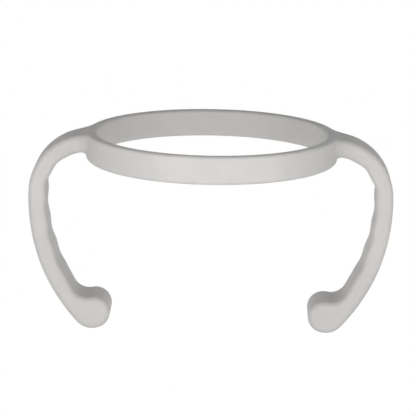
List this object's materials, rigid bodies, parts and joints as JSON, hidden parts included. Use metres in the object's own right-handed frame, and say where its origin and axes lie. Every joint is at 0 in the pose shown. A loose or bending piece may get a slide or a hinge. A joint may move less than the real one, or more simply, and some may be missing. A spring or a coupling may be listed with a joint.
{
  "type": "cheek retractor",
  "caption": "One-piece plastic cheek retractor: a round viewing ring with two curved spring arms that end in rounded barrel tips.",
  "frame": {"origin": "centre of the round window, halfway up the ring", "axes": "+Z along the window's axis, away from the arms; +X through the right arm; +Y away from the viewer"},
  "size_m": [0.077, 0.053, 0.0424],
  "materials": {
    "moulding": "satin light warm grey"
  },
  "bodies": {
    "ring": {"window_ring": "moulding", "left_neck": "moulding", "right_neck": "moulding"},
    "left_arm": {"left_arm": "moulding", "left_tip": "moulding"},
    "right_arm": {"right_arm": "moulding", "right_tip": "moulding"}
  },
  "joints": [
    {"name": "left_arm_flex", "type": "hinge", "parent": "ring", "child": "left_arm", "pos_m": [-0.0304, 0, -0.0002], "axis": [0, -1, 0], "range_deg": [-4, 12], "stiffness_Nm_per_rad": 1.4, "deforming": ["left_neck"]},
    {"name": "right_arm_flex", "type": "hinge", "parent": "ring", "child": "right_arm", "pos_m": [0.0304, 0, -0.0002], "axis": [0, 1, 0], "range_deg": [-4, 12], "stiffness_Nm_per_rad": 1.4, "deforming": ["right_neck"]}
  ]
}
